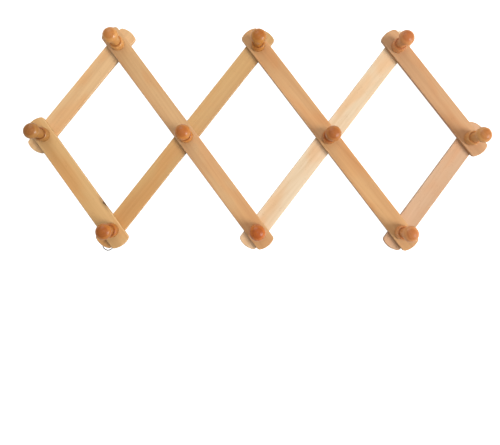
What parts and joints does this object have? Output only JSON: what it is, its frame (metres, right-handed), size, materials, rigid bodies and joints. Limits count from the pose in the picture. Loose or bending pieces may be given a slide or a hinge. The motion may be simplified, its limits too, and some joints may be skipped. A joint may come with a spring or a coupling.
{
  "type": "expanding peg rack",
  "caption": "Expanding lattice rack of flat wooden slats pivoting on turned wooden pegs, with wire hanging loops behind its lower outer corners.",
  "frame": {"origin": "centre of the open rack's box, on the surface that the screw heads rest on", "axes": "+Z from the back of the rack towards the peg heads, +X along the rack to the right as seen from the front, +Y up when it hangs on a wall"},
  "size_m": [0.5486, 0.2689, 0.0586],
  "materials": {
    "front_slat_1": "clear gloss lacquer on straight-grained beech, yellow tone",
    "front_slat_2": "clear gloss lacquer on straight-grained beech",
    "front_slat_3": "clear gloss lacquer on straight-grained beech",
    "front_slat_4": "clear gloss lacquer on straight-grained beech, pink tone",
    "back_slat_1": "clear gloss lacquer on straight-grained beech",
    "back_slat_2": "clear gloss lacquer on straight-grained beech, orange tone",
    "back_slat_3": "clear gloss lacquer on straight-grained beech, pale tone",
    "back_slat_4": "clear gloss lacquer on straight-grained beech, pink tone",
    "peg": "clear gloss lacquer on turned beech, orange-brown",
    "screw": "zinc-plated steel",
    "washer": "zinc-plated steel",
    "hanging_loop": "dull drawn steel wire"
  },
  "bodies": {
    "root": {"peg_top_2": "peg", "screw_top_2": "screw", "washer_top_2": "washer"},
    "front_slat_1": {"front_slat_1": "front_slat_1", "peg_middle_1": "peg", "screw_middle_1": "screw", "washer_middle_1": "washer", "peg_bottom_1": "peg", "screw_bottom_1": "screw"},
    "front_slat_2": {"front_slat_2": "front_slat_2", "peg_top_1": "peg", "screw_top_1": "screw", "washer_top_1": "washer", "peg_middle_2": "peg", "screw_middle_2": "screw", "washer_middle_2": "washer", "peg_bottom_2": "peg", "screw_bottom_2": "screw", "washer_bottom_2": "washer"},
    "front_slat_3": {"front_slat_3": "front_slat_3", "peg_middle_3": "peg", "screw_middle_3": "screw", "washer_middle_3": "washer", "peg_bottom_3": "peg", "screw_bottom_3": "screw"},
    "front_slat_4": {"front_slat_4": "front_slat_4", "peg_top_3": "peg", "screw_top_3": "screw", "washer_top_3": "washer", "peg_middle_4": "peg", "screw_middle_4": "screw", "washer_middle_4": "washer"},
    "back_slat_1": {"back_slat_1": "back_slat_1"},
    "back_slat_2": {"back_slat_2": "back_slat_2"},
    "back_slat_3": {"back_slat_3": "back_slat_3"},
    "back_slat_4": {"back_slat_4": "back_slat_4"},
    "hanging_loop_left": {"hanging_loop_left": "hanging_loop"},
    "hanging_loop_right": {"hanging_loop_right": "hanging_loop"}
  },
  "joints": [
    {"name": "fold", "type": "hinge", "parent": "root", "child": "front_slat_3", "pos_m": [0, 0.11307, 0.009], "axis": [0, 0, 1], "range_deg": [-32.4, 47.8]},
    {"name": "fold_back_slat_2", "type": "hinge", "parent": "root", "child": "back_slat_2", "pos_m": [0, 0.11307, 0.009], "axis": [0, 0, 1], "range_deg": [-47.8, 32.4]},
    {"name": "fold_back_slat_3", "type": "hinge", "parent": "front_slat_3", "child": "back_slat_3", "pos_m": [0.08484, 0.0017, 0.009], "axis": [0, 0, 1], "range_deg": [-95.6, 64.8]},
    {"name": "fold_back_slat_4", "type": "hinge", "parent": "front_slat_3", "child": "back_slat_4", "pos_m": [0.16968, -0.10967, 0.009], "axis": [0, 0, 1], "range_deg": [-95.6, 64.8]},
    {"name": "fold_front_slat_2", "type": "hinge", "parent": "back_slat_2", "child": "front_slat_2", "pos_m": [-0.08484, 0.0017, 0.009], "axis": [0, 0, 1], "range_deg": [-64.8, 95.6]},
    {"name": "fold_front_slat_1", "type": "hinge", "parent": "back_slat_2", "child": "front_slat_1", "pos_m": [-0.16968, -0.10967, 0.009], "axis": [0, 0, 1], "range_deg": [-64.8, 95.6]},
    {"name": "fold_back_slat_1", "type": "hinge", "parent": "front_slat_2", "child": "back_slat_1", "pos_m": [-0.16968, 0.11307, 0.009], "axis": [0, 0, 1], "range_deg": [-95.6, 64.8]},
    {"name": "fold_front_slat_4", "type": "hinge", "parent": "back_slat_3", "child": "front_slat_4", "pos_m": [0.16968, 0.11307, 0.009], "axis": [0, 0, 1], "range_deg": [-64.8, 95.6]},
    {"name": "loop_swing_left", "type": "hinge", "parent": "back_slat_2", "child": "hanging_loop_left", "pos_m": [-0.16968, -0.10967, 0.009], "axis": [0, 0, 1], "range_deg": [-65, 25]},
    {"name": "loop_swing_right", "type": "hinge", "parent": "back_slat_4", "child": "hanging_loop_right", "pos_m": [0.16968, -0.10967, 0.009], "axis": [0, 0, 1], "range_deg": [-200, 0]}
  ],
  "couplings": [
    {"joint": "fold_back_slat_2", "follows": "fold", "ratio": -1},
    {"joint": "fold_back_slat_3", "follows": "fold", "ratio": -2},
    {"joint": "fold_back_slat_4", "follows": "fold", "ratio": -2},
    {"joint": "fold_front_slat_2", "follows": "fold", "ratio": 2},
    {"joint": "fold_front_slat_1", "follows": "fold", "ratio": 2},
    {"joint": "fold_back_slat_1", "follows": "fold", "ratio": -2},
    {"joint": "fold_front_slat_4", "follows": "fold", "ratio": 2}
  ]
}
